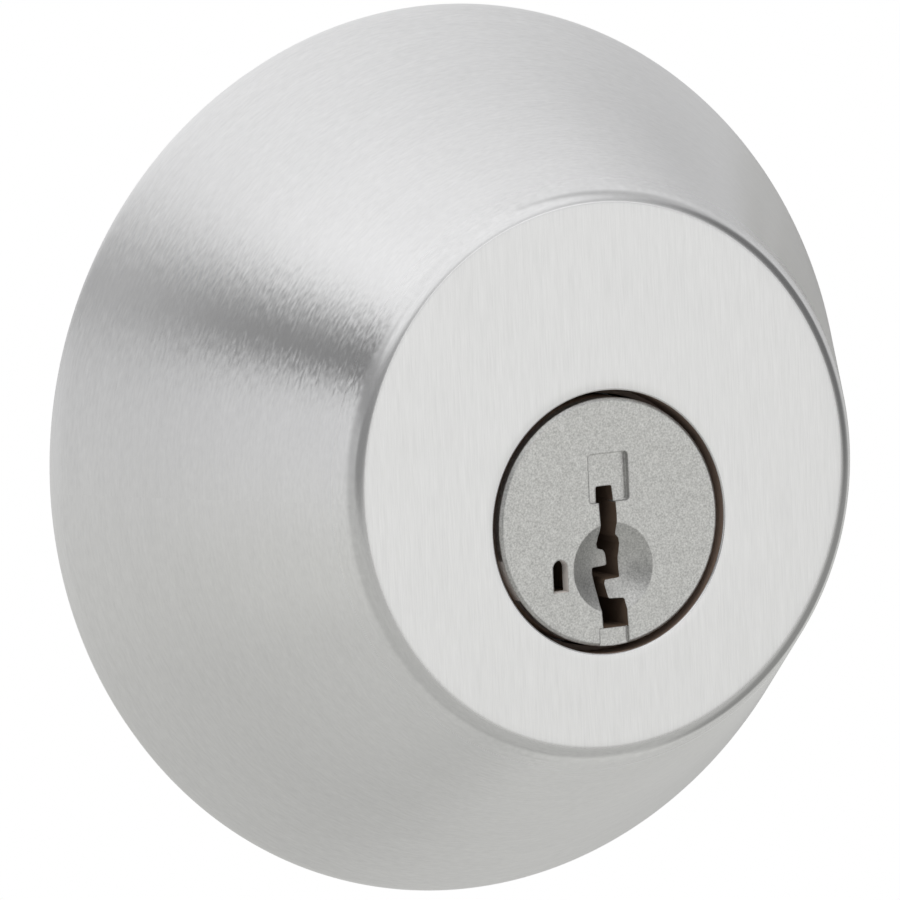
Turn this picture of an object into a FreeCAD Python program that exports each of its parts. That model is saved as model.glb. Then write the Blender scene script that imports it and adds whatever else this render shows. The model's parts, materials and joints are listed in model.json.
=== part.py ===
import FreeCAD, Part
import os
from math import cos, degrees, pi, radians, sin, tan

# Single-cylinder deadbolt lock, as fitted to a door that is itself left out.
# Millimetres. +Z up, +Y from the outside of the door to the inside, +X towards the door's edge.
# The origin is the centre of the outside rose's back face, on the rose's own axis.

V = FreeCAD.Vector
ALONG_X = V(1, 0, 0)
ALONG_Y = V(0, 1, 0)
ALONG_Z = V(0, 0, 1)

# How far a cutting shape runs past the face it cuts, the running gap of fitted parts,
# and how near a position has to be to count as the same
OVER = 1.0
RUN = 0.05
SAME = 0.01

# Door that the lock fits
DOOR_T = 44.45
BORE_R = 27.0
BACKSET = 60.3
SCREW_Z = 20.5
MID_Y = DOOR_T / 2

# Outside rose: a cone with a rounded rim, a flat face and a hole below the middle
ROSE_R = 31.75
ROSE_H = 22.5
ROSE_LIP = 1.35
ROSE_LIP_ROUND = 2.4
ROSE_WALL = 2.2
ROSE_SKIN = ROSE_WALL * 1.15
ROSE_HOLLOW_STEP = 0.8
FACE_R = 19.45
FACE_ROUND = 1.6
HOLE_R = 9.05

# Drive axis: plug, torque blade, crank and thumbturn all turn about it
AXIS_Z = -3.175

# Cylinder housing, its plate and the parts fixed to them
BODY_R = 12.3
BODY_BACK = 3.4
FLANGE_R = 18.0
PLATE_SINK = 0.3
PLATE_T = 2.0
PLATE_R = 26.0
PLATE_FRONT = -PLATE_SINK - PLATE_T
FLANGE_Y = (-6.0, PLATE_FRONT)
GUARD_R = 14.5
GUARD_BORE = 8.7
DRILL_PIN_R = 1.0
DRILL_PIN_LEN = 7.95
DRILL_PIN_TURNS = (60, 120)
CYL_SCREW_X = 15.4
CYL_SCREW_R = 1.5
CYL_SCREW_END = 0.5
CYL_HEAD_R = 2.8
CYL_HEAD_TOP = 1.3
CYL_SLOT = (3.0, 0.7, 0.9)
POST_R = 3.2
POST_NECK_R = 2.6
POST_END = 19.0
POST_HOLE_START = 4.0
SCREW_R = 2.4
ADAPTER_GAP = 0.2
ADAPTER_WALL = 2.4
ADAPTER_BACK = 7.0
NOTCH = (6.0, 4.0, 4.0)
NOTCH_Y = 5.5
NOTCH_TURNS = (45, 135, 225, 315)

# Plug
HEAD_R = 8.55
HEAD_CHAMFER = 0.2
BARREL_R = 7.9
BARREL_FRONT = -17.55
HEAD_GAP = 0.05
PLUG_BACK = 5.0
CLIP_GROOVE_Y = (BODY_BACK + 0.1, BODY_BACK + 1.0)
CLIP_GROOVE_DEEP = 0.7
CLIP_PLAY = 0.05
CLIP_REACH = 1.0
CLIP_MOUTH = 3.5
BLADE_SLOT_START = 2.0

# Keyway, as (x, z) from the drive axis: up its left side, then down its right
KEYWAY_LEFT = [
    (-0.87, -7.3), (-0.9, -6.5), (-0.94, -5.9), (-1.0, -4.9), (-1.1, -4.25), (-1.2, -3.6), (-1.2, -3.1),
    (0.03, -3.05), (-0.02, -2.5), (-0.12, -2.15), (-0.29, -1.94), (-0.74, -1.8), (-0.86, -1.5), (-0.8, -1.05),
    (-0.72, -0.6), (-0.75, 0.3), (-0.81, 1.3), (-0.79, 2.48),
]
KEYWAY_RIGHT = [
    (0.43, 2.48), (0.52, 1.5), (0.5, 1.2), (0.54, 0.5), (0.53, -0.1), (0.56, -0.9), (0.84, -1.2), (0.95, -1.6),
    (0.94, -2.1), (0.88, -2.6), (0.9, -3.2), (0.94, -3.97), (-0.2, -4.03), (-0.28, -4.3), (-0.12, -5.3),
    (1.04, -5.37), (1.06, -6.3), (1.1, -7.3),
]
KEYWAY_ROUND = 0.13
KEYWAY_BACK = 1.5
POCKET_X = (-1.52, 1.6)
POCKET_Z = (1.38, 4.75)
POCKET_DEEP = 0.4
POCKET_ROUND = 0.25
FOOT_POCKET_X = (-1.15, 1.12)
FOOT_POCKET_Z = (-9.0, -7.25)
FOOT_POCKET_DEEP = 0.25
DISH_R = 3.1
DISH_DEEP = 0.8
DISH_X = 0.1
DISH_Z = -3.15
TOOL_X = -4.03
TOOL_R = 0.57
TOOL_Z = (-4.45, -2.78)
TOOL_SKIN = 0.8
TOOL_ROOM = 0.5

# Pin chambers, key pins and their springs
PIN_COUNT = 5
PIN_FIRST = -16.23
PIN_PITCH = 3.81
PINS_Y = [PIN_FIRST + PIN_PITCH * i for i in range(PIN_COUNT)]
PIN_X = -0.4
PIN_R = 1.2
PIN_TIP_R = 0.6
PIN_TIP_H = 0.6
PIN_LOW = 0.6
PIN_HIGH = 4.0
PIN_LIFT = 2.0
PIN_CHAMBER_LOW = 0.3
PIN_SPRING_R = 0.8
PIN_SPRING_TURNS = 4
FINE_WIRE = 0.16
COVER_LOW = 7.0
COVER_TOP = 9.0
COVER_HALF = 2.0
COVER_Y = (BARREL_FRONT + 0.3, 1.2)
COVER_DROP = 0.03

# Wafers and the carriage that holds them, to the left of the pins
WAFER_T = 1.4
WAFER_X = (-3.4, -2.0)
WAFER_Z = (-1.6, 3.4)
WAFER_GATE_Z = (0.8, 1.6)
WAFER_GATE_DEEP = 0.5
TOOTH_Z = (1.7, 2.9)
TOOTH_H = 0.4
TOOTH_X = -1.38
TOOTH_ROOT = 0.2
GROOVE_DEEP = 0.35
GROOVE_H = 0.6
CARRIAGE_X = (-4.95, -1.95)
CARRIAGE_Z = (-2.35, 5.55)
CARRIAGE_Y = (-17.0, 0.2)
CARRIAGE_TRAVEL = 1.5
CARRIAGE_SPRING_LEN = CARRIAGE_TRAVEL + 1.2
CARRIAGE_SPRING_R = 0.75
CARRIAGE_SPRING_WIRE = 0.18
CARRIAGE_SPRING_TURNS = 3.5
CARRIAGE_SPRING_X = -4.0
CARRIAGE_SPRING_DROP = 1.0
FOOT_X = (-4.95, -3.05)
FOOT_LOW = -4.55
FOOT_OVERLAP = 0.5
WINDOW_Z = (1.2, 5.6)
WINDOW_SIDE = 0.9
WINDOW_OVERLAP = 0.5

# Sidebar, shown drawn in as with the right key in the plug
SIDEBAR_X = (-7.7, -5.3)
SIDEBAR_Y = (-17.0, 0.3)
SIDEBAR_HALF = 0.95
SIDEBAR_NOSE = 0.35
SIDEBAR_NOSE_BACK = -6.9
SIDEBAR_SLOT_HALF = 1.0
FINGER_TIP = -3.7
FINGER_HALF = 0.35
FINGER_SLOT_HALF = 0.45
SIDEBAR_SPRINGS_Y = ((PINS_Y[0] + PINS_Y[1]) / 2, (PINS_Y[3] + PINS_Y[4]) / 2)
SIDEBAR_SPRING_X = -6.6
SIDEBAR_SPRING_LEN = 1.5
SIDEBAR_SPRING_R = 0.55
SIDEBAR_SPRING_TURNS = 3
SIDEBAR_BORE_R = 0.75
GROOVE_MOUTH = 1.1
GROOVE_FLOOR = 0.45

# Torque blade
BLADE_W = 6.0
BLADE_T = 1.6
BLADE_PLAY = 0.1
BLADE_Y = (2.2, DOOR_T + 6.0)
BLADE_POINT = 0.7

# Bolt unit, centred in the door's thickness
BOLT_Y = 11.5
BOLT_Z = 16.5
BOLT_LEN = 40.0
BOLT_EDGE = 1.0
BOLT_NOSE = 0.6
BOLT_FRONT = BACKSET - 0.1
BOLT_REAR = BOLT_FRONT - BOLT_LEN
BOLT_GAP = 0.3
SAW_PIN_R = 2.5
SAW_PIN_GAP = 0.05
SAW_PIN_SKIN = 4.0
SAW_PIN_REAR = 2.0
FACEPLATE_Y = 25.4
FACEPLATE_Z = 57.15
FACEPLATE_T = 1.5
FACEPLATE_CORNER = 6.35
FACEPLATE_HOLE_Z = 20.64
FACEPLATE_HOLE_R = 2.4
SINK_WIDER = 1.4
SINK_DEEP = 0.7
BACKING_HOLE_R = 2.8
SLEEVE_R = 12.2
SLEEVE_WALL = 1.0
SLEEVE_X = 29.0
END_WALL = 1.5
CASE_WALL = 1.2
CASE_BACK = -21.5
CASE_TOP_END = 20.5
CASE_BACK_TOP = 6.0
CASE_IN_Y = BOLT_Y / 2 + BOLT_GAP
CASE_IN_Z = BOLT_Z / 2 + BOLT_GAP
TAB_HALF = 3.0
TAB_PLAY = 0.02
TAB_REACH = 1.5
BUSH_R = 5.6
BUSH_RIM = 1.0
BUSH_RIM_T = 0.6

# Crank, drawn pointing up and then turned to its resting place with the bolt in
YOKE_ARM = 12.7
YOKE_R = 2.0
ARM_R = 19.6
ARM_HALF = 5.2
ARM_T = 3.0
ARM_ROUND = 0.8
ARM_SLOT_HALF = 3.15
ARM_SLOT_SPARE = 0.6
HUB_R = 5.0
HUB_GAP = 0.3
JOURNAL_R = 4.4
JOURNAL_OUT = 0.8
REST_SWING = radians(-45)

# Bolt tail: two side plates with a web between them and the yoke pin at their end
TAIL_Y = (2.0, 3.8)
TAIL_Z = (2.6, 8.0)
TAIL_IN = 8.0
TAIL_WEB = 1.5
TAIL_PIN_R = 1.0
EYE_R = 3.4
EYE_LEG_LONG = 5.0
YOKE_Z = AXIS_Z + YOKE_ARM
YOKE_X = YOKE_ARM * tan(REST_SWING)

# Detent leaf on the floor of the case, as (x, height above the floor)
LEAF = [(19.0, 0.0), (13.0, 0.0), (10.0, 1.0), (6.6, 3.0)]
LEAF_T = 0.5
LEAF_LEAN = 0.3
LEAF_HALF = 3.0

# Inside rose, its plate and the mounting screws
IN_ROSE_H = 9.0
IN_LIP = 1.5
IN_FACE_R = 26.0
IN_WALL = 2.0
IN_SKIN = IN_WALL * 1.3
IN_HOLLOW_STEP = 1.0
IN_ROUND = 1.0
IN_TOP = DOOR_T + IN_ROSE_H - IN_WALL
IN_PLATE_T = 1.5
IN_PLATE_BACK = DOOR_T + PLATE_SINK + IN_PLATE_T
BOSS_WALL = 1.4
SCREW_HOLE_SPARE = 0.3
SCREW_HEAD_R = 4.4
SCREW_HEAD_SPARE = 0.2
SCREW_HEAD_H = 2.4
SCREW_HEAD_ROUND = 1.2
SCREW_SLOT = (4.6, 1.0, 1.5)
SCREW_END = 8.0
HEAD_SINK = 1.8

# Thumbturn and what holds it
TURN_HUB_R = 7.0
TURN_HUB_END = DOOR_T + IN_ROSE_H + 3.0
TURN_SHAFT_R = 5.0
TURN_SHAFT_END = DOOR_T - 2.6
TURN_GROOVE_Y = (DOOR_T - 1.5, DOOR_T - 0.6)
TURN_GROOVE_DEEP = 0.8
TURN_LONG = 34.0
TURN_WIDE = 8.0
TURN_OUT = 24.0
TURN_LOW = DOOR_T + IN_ROSE_H + 1.2
TURN_TAPER_LONG = 5.0
TURN_TAPER_WIDE = 1.4
TURN_ROUND = 1.8
TURN_SLOT_END = DOOR_T + 6.4
TURN_BUSH_R = 8.4
TURN_BUSH_OUT = 0.6
HUB_BACK = IN_PLATE_BACK + 1.2
TURN_CLIP_R = TURN_SHAFT_R + 1.8
TURN_CLIP_MOUTH = 2.6
WASHER_R = (TURN_SHAFT_R + 1.7, TURN_SHAFT_R + 0.2)
WASHER_Y = (IN_PLATE_BACK + 0.1, IN_PLATE_BACK + 0.9)


# ---- basic shapes ----

def box(x, y, z):
    """A box from its lowest and highest x, y and z."""
    size = (x[1] - x[0], y[1] - y[0], z[1] - z[0])
    return Part.makeBox(*size, V(x[0], y[0], z[0]))


def drive_box(x, y, z):
    """A box whose heights are measured from the drive axis."""
    return box(x, y, (z[0] + AXIS_Z, z[1] + AXIS_Z))


def rod(radius, y, x=0.0, z=0.0):
    """A cylinder along Y from y[0] to y[1]."""
    return Part.makeCylinder(radius, y[1] - y[0], V(x, y[0], z), ALONG_Y)


def drive_rod(radius, y):
    """A cylinder along the drive axis."""
    return rod(radius, y, 0.0, AXIS_Z)


def drive_ring(outer, inner, y):
    return drive_rod(outer, y).cut(drive_rod(inner, (y[0] - OVER, y[1] + OVER)))


def rod_x(radius, x, z=0.0):
    """A cylinder along X in the middle of the door's thickness."""
    return Part.makeCylinder(radius, x[1] - x[0], V(x[0], MID_Y, z), ALONG_X)


def rod_z(radius, z, x, y):
    """A cylinder along Z, its heights measured from the drive axis."""
    return Part.makeCylinder(radius, z[1] - z[0], V(x, y, z[0] + AXIS_Z), ALONG_Z)


def outline_face(points):
    return Part.Face(Part.makePolygon(points + [points[0]]))


def lathe(points, z=0.0):
    """Turn an outline of (radius, y) points about the Y axis at height z."""
    face = outline_face([V(r, y, z) for r, y in points])
    return face.revolve(V(0, 0, z), ALONG_Y, 360)


def prism(points, y, z=0.0, rounding=0.0):
    """Push an outline of (x, z) points along Y, with its corners rounded if asked."""
    face = outline_face([V(u, y[0], z + w) for u, w in points])
    if rounding:
        face = face.makeOffset2D(-rounding).makeOffset2D(2 * rounding).makeOffset2D(-rounding)
    return face.extrude(V(0, y[1] - y[0], 0))


def fuse(shapes):
    whole = shapes[0].multiFuse(shapes[1:])
    return whole.removeSplitter()


def cut_all(shape, tools):
    for tool in tools:
        shape = shape.cut(tool)
    return shape


def beside_middle(side, near, far):
    """A stretch of y on one side of the middle of the door's thickness."""
    ends = sorted((MID_Y + side * near, MID_Y + side * far))
    return (ends[0], ends[1])


def spring(radius, wire, length, turns, start, direction):
    """A round-wire compression spring that starts at a point and runs along a direction."""
    rise = length - 2 * wire
    path = Part.makeHelix(rise / turns, rise, radius)
    circle = Part.Circle(V(radius, 0, 0), ALONG_Y, wire)
    section = Part.Wire(circle.toShape())
    coil = Part.Wire(path).makePipeShell([section], True, True)
    coil.translate(V(0, 0, wire))
    coil.Placement = FreeCAD.Placement(start, FreeCAD.Rotation(ALONG_Z, direction)) * coil.Placement
    return coil


def cross_slot(slot, top, x, z):
    """Cross recess of a screw head facing +Y; slot is its length, width and depth."""
    long_half = slot[0] / 2
    wide_half = slot[1] / 2
    y = (top - slot[2], top + OVER)
    flat = box((x - long_half, x + long_half), y, (z - wide_half, z + wide_half))
    upright = box((x - wide_half, x + wide_half), y, (z - long_half, z + long_half))
    return flat.fuse(upright)


def save(name, shape):
    shape.exportStep("parts/" + name + ".step")
    good = shape.isValid() and all(s.isClosed() for s in shape.Shells)
    print(name, len(shape.Solids), "solids", round(shape.Volume, 2), "mm3", "" if good else "BAD")


# ---- outside half ----

def cone_r(y):
    """Outer radius of the rose's cone at depth y."""
    slope = (ROSE_R - FACE_R) / (ROSE_H - ROSE_LIP)
    return ROSE_R - slope * (-y - ROSE_LIP)


def round_circle(shape, y, radius):
    """Round the circular edges of a shape at depth y."""
    edges = [e for e in shape.Edges if len(e.Vertexes) == 1 and abs(e.BoundBox.Center.y - y) < SAME]
    return shape.makeFillet(radius, edges)


def outside_rose():
    outer = [(0, 0), (ROSE_R, 0), (ROSE_R, -ROSE_LIP), (FACE_R, -ROSE_H), (0, -ROSE_H)]
    shell = lathe(outer)
    shell = round_circle(shell, -ROSE_LIP, ROSE_LIP_ROUND)
    shell = round_circle(shell, -ROSE_H, FACE_ROUND)
    inner_front = -ROSE_H + ROSE_WALL
    inner_r = ROSE_R - ROSE_SKIN
    hollow = [(0, OVER), (inner_r, OVER), (inner_r, -ROSE_LIP - ROSE_HOLLOW_STEP)]
    hollow += [(cone_r(inner_front) - ROSE_SKIN, inner_front), (0, inner_front)]
    shell = shell.cut(lathe(hollow))
    return shell.cut(drive_rod(HOLE_R, (-ROSE_H - OVER, 0)))


def cylinder_guard():
    return drive_ring(GUARD_R, GUARD_BORE, (-ROSE_H + ROSE_WALL, BARREL_FRONT - HEAD_GAP))


def drill_pins(y):
    """The two hardened pins above the plug, one each side of its pin chambers."""
    middle = (BODY_R + BARREL_R) / 2
    turns = [radians(turn) for turn in DRILL_PIN_TURNS]
    return Part.makeCompound([rod(DRILL_PIN_R, y, middle * cos(a), AXIS_Z + middle * sin(a)) for a in turns])


def anti_drill_pins():
    front = BARREL_FRONT + HEAD_GAP
    return drill_pins((front, front + DRILL_PIN_LEN))


def cylinder_body():
    front = BARREL_FRONT + HEAD_GAP
    body = fuse([drive_rod(BODY_R, (front, BODY_BACK)), drive_rod(FLANGE_R, FLANGE_Y)])
    body = body.cut(drive_rod(BARREL_R + RUN, (front - OVER, BODY_BACK + OVER)))
    # V groove that the sidebar falls into when the wrong key is in the plug
    deep = -BARREL_R - 0.9
    mouth = -BARREL_R + 0.4
    groove = [(deep, GROOVE_FLOOR), (deep, -GROOVE_FLOOR), (mouth, -GROOVE_MOUTH), (mouth, GROOVE_MOUTH)]
    body = body.cut(prism(groove, (front - OVER, 1.0), AXIS_Z))
    body = body.cut(drill_pins((front - OVER, front + DRILL_PIN_LEN + RUN)))
    screw_y = (FLANGE_Y[0] - OVER, FLANGE_Y[1] + OVER)
    return cut_all(body, [rod(CYL_SCREW_R, screw_y, x, AXIS_Z) for x in (-CYL_SCREW_X, CYL_SCREW_X)])


def outside_plate():
    through = (PLATE_FRONT - OVER, OVER)
    plate = rod(PLATE_R, (PLATE_FRONT, -PLATE_SINK)).cut(drive_rod(BODY_R, through))
    plate = cut_all(plate, [rod(CYL_SCREW_R, through, x, AXIS_Z) for x in (-CYL_SCREW_X, CYL_SCREW_X)])
    return cut_all(plate, [rod(POST_NECK_R, through, 0.0, z) for z in (-SCREW_Z, SCREW_Z)])


def threaded_posts():
    posts = []
    for z in (-SCREW_Z, SCREW_Z):
        neck = rod(POST_NECK_R, (PLATE_FRONT, OVER), 0.0, z)
        post = fuse([neck, rod(POST_R, (-PLATE_SINK, POST_END), 0.0, z)])
        posts.append(post.cut(rod(SCREW_R, (POST_HOLE_START, POST_END + OVER), 0.0, z)))
    return Part.makeCompound(posts)


def cylinder_screws():
    screws = []
    for x in (-CYL_SCREW_X, CYL_SCREW_X):
        shank = rod(CYL_SCREW_R, (FLANGE_Y[0] + CYL_SCREW_END, CYL_SCREW_END), x, AXIS_Z)
        head = rod(CYL_HEAD_R, (-PLATE_SINK, CYL_HEAD_TOP), x, AXIS_Z)
        screws.append(fuse([shank, head]).cut(cross_slot(CYL_SLOT, CYL_HEAD_TOP, x, AXIS_Z)))
    return Part.makeCompound(screws)


def adapter_ring():
    outer = BORE_R - ADAPTER_GAP
    middle = outer - ADAPTER_WALL / 2
    y = (-PLATE_SINK, ADAPTER_BACK)
    band = rod(outer, y).cut(rod(outer - ADAPTER_WALL, (y[0] - OVER, y[1] + OVER)))
    for turn in NOTCH_TURNS:
        notch = Part.makeBox(*NOTCH, V(-NOTCH[0] / 2, -NOTCH[1] / 2, -NOTCH[2] / 2))
        notch.rotate(V(0, 0, 0), ALONG_Y, -turn)
        notch.translate(V(middle * cos(radians(turn)), NOTCH_Y, middle * sin(radians(turn))))
        band = band.cut(notch)
    return band


# ---- plug ----

def plug_blank():
    head_back = BARREL_FRONT - HEAD_GAP
    head = lathe([
        (0, -ROSE_H), (HEAD_R - HEAD_CHAMFER, -ROSE_H), (HEAD_R, -ROSE_H + HEAD_CHAMFER),
        (HEAD_R, head_back), (0, head_back),
    ], AXIS_Z)
    barrel = drive_rod(BARREL_R, (BARREL_FRONT - OVER, PLUG_BACK))
    clip_groove = drive_ring(BARREL_R + OVER, BARREL_R - CLIP_GROOVE_DEEP, CLIP_GROOVE_Y)
    return fuse([head, barrel]).cut(clip_groove)


def face_pocket(x, z, deep, rounding):
    """A shallow pocket in the plug's face."""
    corners = [(x[0], z[0]), (x[0], z[1]), (x[1], z[1]), (x[1], z[0])]
    return prism(corners, (-ROSE_H - OVER, -ROSE_H + deep), AXIS_Z, rounding)


def dish():
    """The ball that hollows the face round the keyway's lower half."""
    ball = (DISH_R ** 2 + DISH_DEEP ** 2) / (2 * DISH_DEEP)
    return Part.makeSphere(ball, V(DISH_X, -ROSE_H - ball + DISH_DEEP, AXIS_Z + DISH_Z))


def tool_slot():
    """The round-topped slot for the rekeying tool, wider behind the face."""
    y = (-ROSE_H - OVER, CARRIAGE_Y[0])
    room_y = (-ROSE_H + TOOL_SKIN, CARRIAGE_Y[0])
    lower = drive_box((TOOL_X - TOOL_R, TOOL_X + TOOL_R), y, TOOL_Z)
    top = rod(TOOL_R, y, TOOL_X, AXIS_Z + TOOL_Z[1])
    room_x = (TOOL_X - TOOL_R - TOOL_ROOM, TOOL_X + TOOL_R + TOOL_ROOM)
    room = drive_box(room_x, room_y, (TOOL_Z[0], TOOL_Z[1] + TOOL_R))
    return [lower, top, room]


def carriage_space():
    """Room inside the plug for the carriage over its whole travel, and for its spring behind it."""
    y = (CARRIAGE_Y[0] - RUN, CARRIAGE_Y[1] + CARRIAGE_SPRING_LEN)
    x = (CARRIAGE_X[0] - RUN, CARRIAGE_X[1] + RUN)
    upper = drive_box(x, y, (CARRIAGE_Z[0] - RUN, CARRIAGE_Z[1] + RUN))
    lower = drive_box((FOOT_X[0] - RUN, FOOT_X[1] + RUN), y, (FOOT_LOW - RUN, 0))
    return upper.fuse(lower)


def pin_chambers():
    z = (PIN_LOW - PIN_CHAMBER_LOW, COVER_LOW)
    return [rod_z(PIN_R + RUN, z, PIN_X, y) for y in PINS_Y]


def cover_space():
    return drive_box((PIN_X - COVER_HALF, PIN_X + COVER_HALF), COVER_Y, (COVER_LOW, COVER_TOP))


def tooth_window():
    """The opening through which the wafers' teeth reach the pins, over the carriage's travel."""
    y = (PINS_Y[0] - WINDOW_SIDE, PINS_Y[-1] + CARRIAGE_TRAVEL + WINDOW_SIDE)
    return drive_box((CARRIAGE_X[1] - WINDOW_OVERLAP, PIN_X), y, WINDOW_Z)


def sidebar_slot():
    y = (SIDEBAR_Y[0] - RUN, SIDEBAR_Y[1] + RUN)
    return drive_box((-HEAD_R, CARRIAGE_X[0] + 0.1), y, (-SIDEBAR_SLOT_HALF, SIDEBAR_SLOT_HALF))


def plug_body():
    plug = plug_blank()
    keyway_y = (-ROSE_H - OVER, KEYWAY_BACK)
    plug = plug.cut(prism(KEYWAY_LEFT + KEYWAY_RIGHT, keyway_y, AXIS_Z, KEYWAY_ROUND))
    plug = plug.cut(face_pocket(POCKET_X, POCKET_Z, POCKET_DEEP, POCKET_ROUND))
    plug = plug.cut(face_pocket(FOOT_POCKET_X, FOOT_POCKET_Z, FOOT_POCKET_DEEP, 0.0))
    plug = plug.cut(dish())
    plug = cut_all(plug, tool_slot() + pin_chambers())
    plug = cut_all(plug, [cover_space(), carriage_space(), tooth_window(), sidebar_slot()])
    return plug.cut(blade_bar((BLADE_SLOT_START, PLUG_BACK + OVER), BLADE_PLAY))


def plug_cover():
    return cover_space().common(drive_rod(BARREL_R - COVER_DROP, (BARREL_FRONT, PLUG_BACK)))


def sidebar():
    bar = drive_box(SIDEBAR_X, SIDEBAR_Y, (-SIDEBAR_HALF, SIDEBAR_HALF))
    tip = SIDEBAR_X[0] - SIDEBAR_NOSE
    wide = SIDEBAR_HALF + SIDEBAR_NOSE
    for side in (-1, 1):
        wedge = [(tip, SIDEBAR_NOSE * side), (SIDEBAR_NOSE_BACK, wide * side), (tip, wide * side)]
        bar = bar.cut(prism(wedge, (SIDEBAR_Y[0] - OVER, SIDEBAR_Y[1] + OVER), AXIS_Z))
    finger_x = (SIDEBAR_X[1] - RUN, FINGER_TIP)
    finger_z = (-FINGER_HALF, FINGER_HALF)
    fingers = [drive_box(finger_x, (y - FINGER_HALF, y + FINGER_HALF), finger_z) for y in PINS_Y]
    bar = fuse([bar] + fingers)
    for y in SIDEBAR_SPRINGS_Y:
        seat = V(SIDEBAR_SPRING_X, y, AXIS_Z)
        bar = bar.cut(Part.makeCylinder(SIDEBAR_BORE_R, SIDEBAR_SPRING_LEN, seat, ALONG_X))
    return bar


def sidebar_springs():
    coils = []
    for y in SIDEBAR_SPRINGS_Y:
        start = V(SIDEBAR_SPRING_X, y, AXIS_Z)
        turns = SIDEBAR_SPRING_TURNS
        coils.append(spring(SIDEBAR_SPRING_R, FINE_WIRE, SIDEBAR_SPRING_LEN, turns, start, ALONG_X))
    return Part.makeCompound(coils)


def key_pin(y):
    pin = rod_z(PIN_R, (PIN_LOW + PIN_TIP_H, PIN_HIGH), PIN_X, y)
    tip = Part.makeCone(PIN_TIP_R, PIN_R, PIN_TIP_H, V(PIN_X, y, AXIS_Z + PIN_LOW), ALONG_Z)
    pin = pin.fuse(tip)
    for z in TOOTH_Z:
        low = z - (GROOVE_H - TOOTH_H) / 2
        disc = rod_z(PIN_R + OVER, (low, low + GROOVE_H), PIN_X, y)
        core = rod_z(PIN_R - GROOVE_DEEP, (low, low + GROOVE_H), PIN_X, y)
        pin = pin.cut(disc.cut(core))
    return pin.removeSplitter()


def pin_spring(y):
    start = V(PIN_X, y, AXIS_Z + PIN_HIGH)
    return spring(PIN_SPRING_R, FINE_WIRE, COVER_LOW - PIN_HIGH, PIN_SPRING_TURNS, start, ALONG_Z)


def wafer(y):
    half = WAFER_T / 2
    across = (y - half, y + half)
    plate = drive_box(WAFER_X, across, WAFER_Z)
    tooth_x = (WAFER_X[1] - TOOTH_ROOT, TOOTH_X)
    teeth = [drive_box(tooth_x, across, (z, z + TOOTH_H)) for z in TOOTH_Z]
    gate_x = (WAFER_X[0] - OVER, WAFER_X[0] + WAFER_GATE_DEEP)
    gate = drive_box(gate_x, (across[0] - OVER, across[1] + OVER), WAFER_GATE_Z)
    return fuse([plate] + teeth).cut(gate)


def carriage():
    block = drive_box(CARRIAGE_X, CARRIAGE_Y, CARRIAGE_Z)
    foot = drive_box(FOOT_X, CARRIAGE_Y, (FOOT_LOW, CARRIAGE_Z[0] + FOOT_OVERLAP))
    block = fuse([block, foot])
    half = WAFER_T / 2 + RUN
    slot_x = (WAFER_X[0] - RUN, CARRIAGE_X[1] + OVER)
    slot_z = (WAFER_Z[0] - RUN, WAFER_Z[1] + PIN_LIFT + RUN)
    finger_x = (CARRIAGE_X[0] - OVER, WAFER_X[0])
    finger_z = (-FINGER_SLOT_HALF, FINGER_SLOT_HALF)
    for y in PINS_Y:
        block = block.cut(drive_box(slot_x, (y - half, y + half), slot_z))
        finger_y = (y - FINGER_HALF - RUN - CARRIAGE_TRAVEL, y + FINGER_HALF + RUN)
        block = block.cut(drive_box(finger_x, finger_y, finger_z))
    return block


def carriage_spring():
    start = V(CARRIAGE_SPRING_X, CARRIAGE_Y[1], AXIS_Z - CARRIAGE_SPRING_DROP)
    wire = CARRIAGE_SPRING_WIRE
    return spring(CARRIAGE_SPRING_R, wire, CARRIAGE_SPRING_LEN, CARRIAGE_SPRING_TURNS, start, ALONG_Y)


def plug_clip():
    y = (CLIP_GROOVE_Y[0] + CLIP_PLAY, CLIP_GROOVE_Y[1] - CLIP_PLAY)
    clip = drive_ring(BARREL_R + CLIP_REACH, BARREL_R - CLIP_GROOVE_DEEP + CLIP_PLAY, y)
    return clip.cut(drive_box((-CLIP_MOUTH, CLIP_MOUTH), (y[0] - OVER, y[1] + OVER), (-BODY_R, 0)))


def blade_bar(y, play=0.0):
    """The flat torque blade, or with play the slot that it turns."""
    half_w = BLADE_W / 2 + play
    half_t = BLADE_T / 2 + play
    return drive_box((-half_t, half_t), y, (-half_w, half_w))


def torque_blade():
    bar = blade_bar(BLADE_Y)
    tips = [e for e in bar.Edges if abs(e.BoundBox.YMin - BLADE_Y[1]) < SAME and e.BoundBox.XLength > SAME]
    return bar.makeChamfer(BLADE_POINT, tips)


# ---- bolt unit ----

def slab(x, half_y, half_z, radius):
    """A plate across X with rounded corners."""
    plate = box(x, (MID_Y - half_y, MID_Y + half_y), (-half_z, half_z))
    corners = [e for e in plate.Edges if e.BoundBox.XLength > SAME]
    return plate.makeFillet(radius, corners)


def bolt_shape(x, spare):
    """The bolt's cross-section along a stretch of x, or with spare the hole that it runs through."""
    return slab(x, BOLT_Y / 2 + spare, BOLT_Z / 2 + spare, BOLT_EDGE)


def edge_plate(outer, hole_r):
    """One of the two plates in the door's edge, with the bolt's hole and two screw holes."""
    plate = slab((outer - FACEPLATE_T, outer), FACEPLATE_Y / 2, FACEPLATE_Z / 2, FACEPLATE_CORNER)
    through = (outer - FACEPLATE_T - OVER, outer + OVER)
    plate = plate.cut(bolt_shape(through, BOLT_GAP))
    return cut_all(plate, [rod_x(hole_r, through, z) for z in (-FACEPLATE_HOLE_Z, FACEPLATE_HOLE_Z)])


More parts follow.
